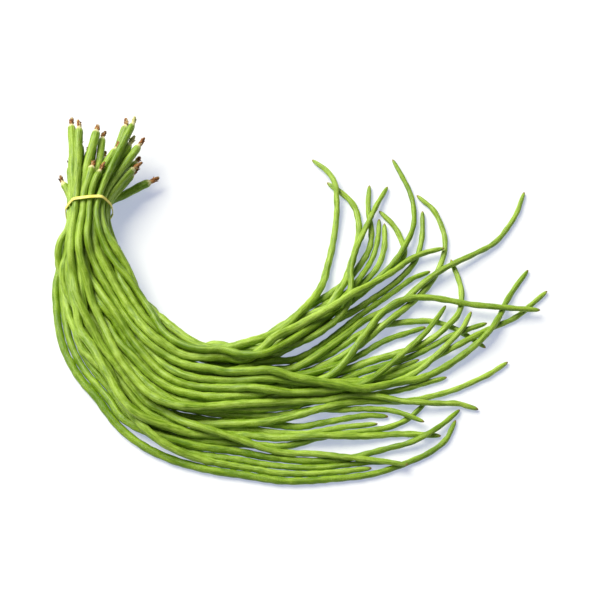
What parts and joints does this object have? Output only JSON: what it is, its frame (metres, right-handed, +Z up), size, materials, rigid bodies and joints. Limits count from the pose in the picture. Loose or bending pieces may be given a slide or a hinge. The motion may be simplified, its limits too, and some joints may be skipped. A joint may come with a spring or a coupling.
{
  "type": "yardlong bean bunch",
  "caption": "Bunch of long slender green bean pods, tied near the stems with one rubber band, lying down in a wide curve with the tips fanned out.",
  "frame": {"origin": "middle of the bunch's bounding box, on the surface it lies on", "axes": "+Z up from the surface, +X from the tied stems' side towards the fanned tips, +Y from the belly of the curve towards the stem ends"},
  "size_m": [0.476, 0.3636, 0.05],
  "materials": {
    "pod_skin": "waxy satin green pod skin, finely mottled",
    "rubber_band": "pale yellow rubber"
  },
  "bodies": {
    "root": {"bean_01": "pod_skin", "bean_02": "pod_skin", "bean_03": "pod_skin", "bean_04": "pod_skin", "bean_05": "pod_skin", "bean_06": "pod_skin", "bean_07": "pod_skin", "bean_08": "pod_skin", "bean_09": "pod_skin", "bean_10": "pod_skin", "bean_11": "pod_skin", "bean_12": "pod_skin", "bean_13": "pod_skin", "bean_14": "pod_skin", "bean_15": "pod_skin", "bean_16": "pod_skin", "bean_17": "pod_skin", "bean_18": "pod_skin", "bean_19": "pod_skin", "bean_20": "pod_skin", "bean_21": "pod_skin", "bean_22": "pod_skin", "bean_23": "pod_skin", "bean_24": "pod_skin", "bean_25": "pod_skin", "bean_26": "pod_skin", "bean_27": "pod_skin", "bean_28": "pod_skin", "bean_29": "pod_skin", "bean_30": "pod_skin", "bean_31": "pod_skin", "bean_32": "pod_skin", "bean_33": "pod_skin", "bean_34": "pod_skin", "bean_35": "pod_skin", "bean_36": "pod_skin", "rubber_band": "rubber_band"}
  },
  "joints": []
}
